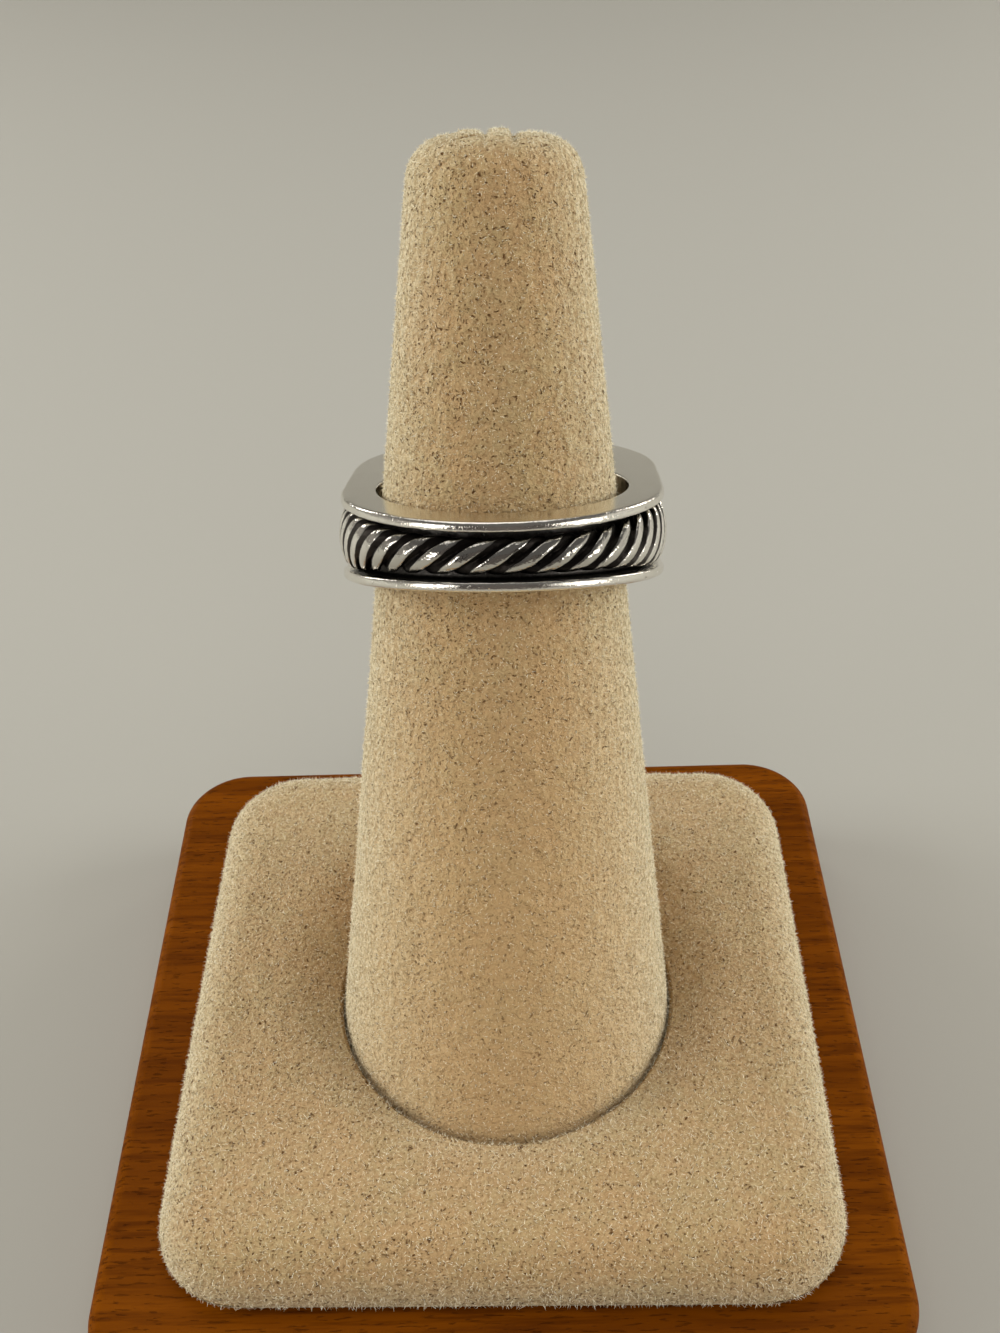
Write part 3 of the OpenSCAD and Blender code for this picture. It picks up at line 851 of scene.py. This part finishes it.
def make_head():
    """The setting: a gallery that widens from the band up to the bezel, whose lip is
    rubbed over the stone's girdle, and inside it the seat that follows the pavilion. The
    band still fills the middle of the seat, up to the girdle."""
    ledge = GIRDLE_Y - GIRDLE_HALF_T
    profile = [(GALLERY_HALF - 0.35, 7.6), (GALLERY_HALF, 8.6)]
    for t in np.linspace(0, 1, 9):
        half = GALLERY_HALF + (GALLERY_TOP_HALF - GALLERY_HALF) * t ** 1.25
        profile.append((half, 9.6 + (BEZEL_LOW - 9.75) * t))
    profile.append((GALLERY_TOP_HALF, BEZEL_LOW))
    low_edge = [(0.2, 0.02), (0.06, 0.09), (0, 0.25), (0, 0.5)]
    profile += [(BEZEL_HALF - inset, BEZEL_LOW + rise) for inset, rise in low_edge]
    high_edge = [(0, -0.2), (0.03, 0.25), (0.14, 0.55), (0.36, 0.78)]
    profile += [(BEZEL_HALF - inset, ledge + rise) for inset, rise in high_edge]
    lip = [(BEZEL_HALF - 0.66, 0.03), (6.35, 0), (6.15, 0.04), (6.05, 0.12)]
    profile += [(half, BEZEL_TOP - drop) for half, drop in lip]
    seat = [(6.06, BEZEL_TOP - 0.22), (STONE_HALF + 0.06, ledge + 0.46), (STONE_HALF + 0.08, ledge)]
    for y in (15.3, 14.6, 13.4, 12.2, 11.2, 10.45):
        seat.append((SEAT_SLOPE * (y - SEAT_APEX), y))
    rows = [cushion_ring(half, BEZEL_CORNER * half / BEZEL_HALF, y) for half, y in profile]
    rows += [cushion_ring(half, STONE_CORNER / STONE_HALF * half, y) for half, y in seat]
    return [p for row in rows for p in row], capped_lattice(len(rows), len(rows[0]))


def join_solids(piece, other, operation):
    """Cuts one solid by another or joins the two, and removes the other"""
    join = piece.modifiers.new("join", "BOOLEAN")
    join.object, join.operation, join.solver = other, operation, "EXACT"
    take_result(piece, join)
    bpy.data.objects.remove(other)


def in_seat(x, y, z):
    """Whether points lie in the stone's seat or on its walls"""
    near = 0.33
    inside = np.maximum(np.abs(x), np.abs(z)) < SEAT_SLOPE * (y - SEAT_APEX) + near
    return inside & (y > CULET_Y - 0.3) & (y < GIRDLE_Y + 0.1)


def make_shank():
    """The ring's silver: the band and the setting in one solid. Its channel is oxidised,
    but rubbed bright further down at its sides, and its faces and its seat are satin."""
    band = add_piece("silver_shank", *make_band())
    head = add_piece("head", *make_head())
    sides, past = 240, 20
    angles = np.linspace(0, 2 * pi, sides, endpoint=False)
    rod = [(GALLERY_CUT_R * cos(a), GALLERY_CUT_R * sin(a), z) for z in (-past, past) for a in angles]
    join_solids(head, add_piece("rod", rod, capped_lattice(2, sides)), "DIFFERENCE")
    join_solids(band, head, "UNION")
    local = points_of(band)
    band.data.vertices.foreach_set("co", (placed(local, RING_FRAME) * MM).ravel())
    band.data.shade_smooth()
    band.data.set_sharp_from_angle(angle=radians(32))
    x, y, z = local.T
    reach = np.hypot(x, y)
    half = band_at(y) / 2
    in_channel = smoothstep(0.02, 0.14, half - np.abs(z))
    depth = outline_depth(x, y)
    rubbed = np.where((x > 0) & (z > 0), 0.7, 1.3) * smoothstep(6, 10.5, np.abs(x)) * (y < 3)
    oxide = in_channel * smoothstep(0.08 + rubbed, 0.35 + rubbed, depth)
    set_attribute(band, "oxide", oxide * (reach > HOLE_R + 0.3) * (y < SHOULDER_TOP - 0.3))
    satin = smoothstep(half - 0.03, half - 0.005, np.abs(z)) * (y < SHOULDER_TOP)
    set_attribute(band, "satin", np.maximum(satin, in_seat(x, y, z)))
    band.data.materials.clear()
    band.data.materials.append(silver_finish())
    hand_over(band, "polished_silver", "shank")


def outline_depth(x, y):
    """How deep points lie inside the shank's outline"""
    x = np.abs(x)
    back = SHANK_HALF - np.hypot(x, y + SHANK_DROP)
    side = SHANK_HALF - x
    shoulder = SHOULDER_R - np.hypot(x - (SHANK_HALF - SHOULDER_R), y - SHOULDER_Y)
    return np.where(y < -SHANK_DROP, back, np.where(y < SHOULDER_Y, side, shoulder))


def wire_place(s):
    """Place on the wire's route at a length from the middle of the back, towards +X:
    x, y and the angle of the way outwards"""
    depth = WIRE_R - WIRE_PROUD
    half = SHANK_HALF - depth
    side = -1 if s < 0 else 1
    a = abs(s)
    back = pi / 2 * half
    straight = SHOULDER_Y + SHANK_DROP
    if a < back:
        t = a / half
        return side * half * sin(t), -SHANK_DROP - half * cos(t), side * t - pi / 2
    if a < back + straight:
        return side * half, a - back - SHANK_DROP, (side - 1) * pi / 2
    r = SHOULDER_R - depth
    t = (a - back - straight) / r
    way = t if side > 0 else pi - t
    return side * (SHANK_HALF - SHOULDER_R + r * cos(t)), SHOULDER_Y + r * sin(t), way


def strand_count(s):
    """Strands passed on the outermost line, from the middle of the back: the twist
    tightens towards the shoulders"""
    return STRANDS_BEFORE_MIDDLE + STRANDS_PER_MM * s + STRANDS_TIGHTENING * s ** 3


def flatten(value, limit, soft):
    """Values held under a limit, with a soft bend just before it"""
    bend = np.clip((limit - value) / soft * 0.5 + 0.5, 0, 1)
    return value * bend + limit * (1 - bend) - soft * bend * (1 - bend)


def make_wire():
    """Four strands twisted together, as one skin that follows their outer surface"""
    strands, around, step, reach = 4, 56, 0.13, WIRE_REACH
    strand_r = STRAND_SHARE * WIRE_R
    centre_r = WIRE_R - strand_r
    lengths = np.linspace(-reach, reach, int(2 * reach / step))
    angles = np.linspace(0, 2 * pi, around, endpoint=False)
    points, ridge = [], []
    for s in lengths:
        x, y, way = wire_place(s)
        out = np.array([cos(way), sin(way), 0])
        share = WIRE_SHARE + 0.2 * smoothstep(-10.5, -3, y)
        half = share * (band_at(y) / 2 - RAIL)
        taper = sqrt(max(1 - max(0, (abs(s) - reach + 0.9) / 0.9) ** 2, 0.02))
        number = strand_count(s) + 0.06 * noise.noise(Vector((s / 1.3, 4.2, 0)))
        best = np.zeros(around)
        for k in range(strands):
            offset = angles - 2 * pi / strands * (number - k)
            side = centre_r * np.sin(offset)
            inside = np.clip(strand_r ** 2 - side ** 2, 0, None)
            skin = centre_r * np.cos(offset) + np.sqrt(inside)
            best = np.maximum(best, np.where(np.abs(side) < strand_r, skin, 0))
        level = (best / WIRE_R - STRAND_GROOVE) / (1 - STRAND_GROOVE)
        level -= 0.3 * smoothstep(0.62, 0.97, np.abs(np.sin(angles)))
        best = flatten(best, STRAND_WORN_TOP * WIRE_R, 0.03) / STRAND_WORN_TOP * taper
        for a, r in zip(angles, best):
            place = np.array([x, y, 0]) + out * r * cos(a)
            points.append((place[0], place[1], r * sin(a) * half / WIRE_R))
        ridge.extend(level)
    faces = [tuple(reversed(face)) for face in capped_lattice(len(lengths), around)]
    wire = add_piece("cable", placed(points, RING_FRAME), faces, wire_finish())
    # Painted reflection: the wire is painted lighter towards the ring's sides
    set_attribute(wire, "worn", smoothstep(7.5, 11, np.abs(np.array(points)[:, 0])))
    set_attribute(wire, "ridge", np.clip(ridge, 0, 1))
    hand_over(wire, "oxidised_silver", "twisted_wire")


def cushion_reach(a):
    """Distance from the stone's middle to its cushion outline, in one direction"""
    b = abs((a + pi / 4) % (pi / 2) - pi / 4)
    flat = STONE_HALF - STONE_CORNER
    if STONE_HALF * sin(b) <= flat * cos(b):
        return STONE_HALF / cos(b)
    middle = flat * (cos(b) + sin(b))
    return middle + sqrt(middle ** 2 - 2 * flat ** 2 + STONE_CORNER ** 2)


def stone_ring(count, offset, share, height):
    """Corners of the stone's facets at one height"""
    angles = [2 * pi * (k + offset) / count for k in range(count)]
    spokes = [(a, share * cushion_reach(a)) for a in angles]
    return [(r * cos(a), r * sin(a), height) for a, r in spokes]


def make_stone():
    """The citrine: a cushion brilliant with flat facets round its table and its culet"""
    crown, pavilion = CROWN_TOP - GIRDLE_Y - GIRDLE_HALF_T, GIRDLE_Y - CULET_Y
    points = stone_ring(8, 0, TABLE_SHARE, GIRDLE_HALF_T + crown)
    points += stone_ring(8, 0.5, STAR_SHARE, GIRDLE_HALF_T + STAR_RISE * crown)
    points += stone_ring(16, 0, 1, GIRDLE_HALF_T)
    points += stone_ring(16, 0, 1, -GIRDLE_HALF_T)
    points += stone_ring(8, 0.5, BELLY_SHARE * cos(pi / 8), -GIRDLE_HALF_T - BELLY_DROP * pavilion)
    points.append((0, 0, -pavilion))
    star, upper, lower, belly, culet = 8, 16, 32, 48, 56
    faces = [tuple(range(8))]
    for k in range(8):
        after, here, half, there = (k + 1) % 8, 2 * k, 2 * k + 1, (2 * k + 2) % 16
        faces += [(star + k, after, k), (upper + here, star + k, k), (star + k, upper + there, after)]
        faces += [(upper + here, upper + half, star + k), (upper + half, upper + there, star + k)]
        faces += [(belly + k, lower + half, lower + here), (belly + k, lower + there, lower + half)]
        faces += [(lower + here, culet, belly + k), (culet, lower + there, belly + k)]
        for a, b in ((here, half), (half, there)):
            faces.append((lower + a, lower + b, upper + b, upper + a))
    place = RING_FRAME @ shift(0, GIRDLE_Y, 0) @ turn("X", -pi / 2)
    stone = add_piece("citrine_stone", placed(points, place), faces, citrine_finish())
    stone.data.shade_flat()
    hand_over(stone, "citrine", "citrine")


# The studio


def set_camera():
    """The camera, level sideways apart from its roll"""
    data = bpy.data.cameras.new("camera")
    data.sensor_width = SENSOR
    data.lens = CAMERA_LENS
    data.clip_start = 0.005
    camera = bpy.data.objects.new("camera", data)
    forward = Vector((
        sin(CAMERA_YAW) * cos(CAMERA_PITCH), cos(CAMERA_YAW) * cos(CAMERA_PITCH), -sin(CAMERA_PITCH)
    ))
    level = Vector((cos(CAMERA_YAW), -sin(CAMERA_YAW), 0))
    upright = level.cross(forward)
    right = cos(CAMERA_ROLL) * level + sin(CAMERA_ROLL) * upright
    up = -sin(CAMERA_ROLL) * level + cos(CAMERA_ROLL) * upright
    turned = Matrix((right, up, -forward)).transposed().to_4x4()
    camera.matrix_world = Matrix.Translation(Vector(CAMERA_PLACE) * MM) @ turned
    bpy.context.scene.collection.objects.link(camera)
    bpy.context.scene.camera = camera


def add_softbox(name, place, aim, size, power, colour, mirrored=True):
    """An area light at a place in millimetres, turned to its aim. One that isn't mirrored
    lights the suede and the wood, but shows in no reflection."""
    data = bpy.data.lights.new(name, "AREA")
    data.shape = "RECTANGLE"
    data.size, data.size_y = size[0] * MM, size[1] * MM
    data.energy = power
    data.color = colour
    light = bpy.data.objects.new(name, data)
    light.location = Vector(place) * MM
    light.rotation_euler = (Vector(aim) - Vector(place)).to_track_quat("-Z", "Y").to_euler()
    light.visible_camera = False
    light.visible_glossy = mirrored
    bpy.context.scene.collection.objects.link(light)


def set_room():
    """The plain room: one look for the light that it gives, and another in reflections"""
    world = bpy.data.worlds.new("studio")
    world.use_nodes = True
    tree = world.node_tree
    way = add_node(tree, "ShaderNodeTexCoord").outputs["Generated"]
    ways = add_node(tree, "ShaderNodeSeparateXYZ", {"Vector": way}).outputs
    height, away = ways["Z"], ways["Y"]
    rising = remap(tree, height, 0.05, 0.75)
    sky = mix_colour(tree, rising, (0.215, 0.213, 0.195), (0.325, 0.323, 0.300))
    behind = remap(tree, away, -0.65, 0.2)
    room = mix_colour(tree, behind, (0.025, 0.021, 0.020), (0.225, 0.208, 0.182))
    right, left = remap(tree, ways["X"], 0.55, 0.85), remap(tree, ways["X"], -0.62, -0.92)
    room = mix_colour(tree, right, room, (0.66, 0.63, 0.57))
    room = mix_colour(tree, left, room, (0.32, 0.30, 0.27))
    room = mix_colour(tree, remap(tree, height, 0.30, 0.60), room, (0.12, 0.115, 0.11))
    mirrored = add_node(tree, "ShaderNodeLightPath").outputs["Is Glossy Ray"]
    tree.links.new(mix_colour(tree, mirrored, sky, room), tree.nodes["Background"].inputs["Color"])
    bpy.context.scene.world = world


def set_studio():
    """The room, the softboxes, the table, and a dark card that shows in reflections only"""
    set_room()
    target, cool, warm, warmer = (0, 5, 35), (0.90, 0.97, 1.0), (1.0, 0.98, 0.94), (1.0, 0.97, 0.93)
    add_softbox("overhead", (-40, 190, 380), target, (320, 260), 0.32, warm)
    add_softbox("above_front", (0, -140, 420), target, (300, 300), 0.31, warm, mirrored=False)
    add_softbox("low_front", (0, -400, 60), target, (200, 80), 0.11, warmer, mirrored=False)
    add_softbox("left_side", (-420, 40, 170), target, (260, 260), 1.68, cool, mirrored=False)
    add_softbox("right_side", (420, 40, 170), target, (260, 260), 1.6, cool, mirrored=False)
    add_softbox("left_front", (-300, -220, 130), target, (110, 110), 0.25, warmer)
    add_softbox("right_front", (330, -190, 120), target, (110, 100), 0.27, warmer)
    add_softbox("left_back", (-270, 300, 150), target, (90, 90), 0.16, warmer)
    add_softbox("right_back", (270, 300, 150), target, (90, 90), 0.16, warmer)
    side = 2.5
    floor = add_piece("floor", [
        (x * side / MM, y * side / MM, -0.05) for x, y in ((-1, -1), (1, -1), (1, 1), (-1, 1))
    ], [(0, 1, 2, 3)], floor_finish())
    card = add_piece("dark_card", [
        (x * 190, -360, 130 + z * 150) for x, z in ((1, -1), (-1, -1), (-1, 1), (1, 1))
    ], [(0, 1, 2, 3)], card_finish())
    card.visible_camera = card.visible_diffuse = card.visible_shadow = card.visible_transmission = False
    view = bpy.context.scene.view_settings
    view.view_transform = "Standard"
    view.look = "None"


set_camera()
suede = suede_finish()
nap = nap_tree(nap_finish())
make_board()
make_pad(suede, nap)
make_finger(suede, nap)
make_shank()
make_wire()
make_stone()
set_studio()
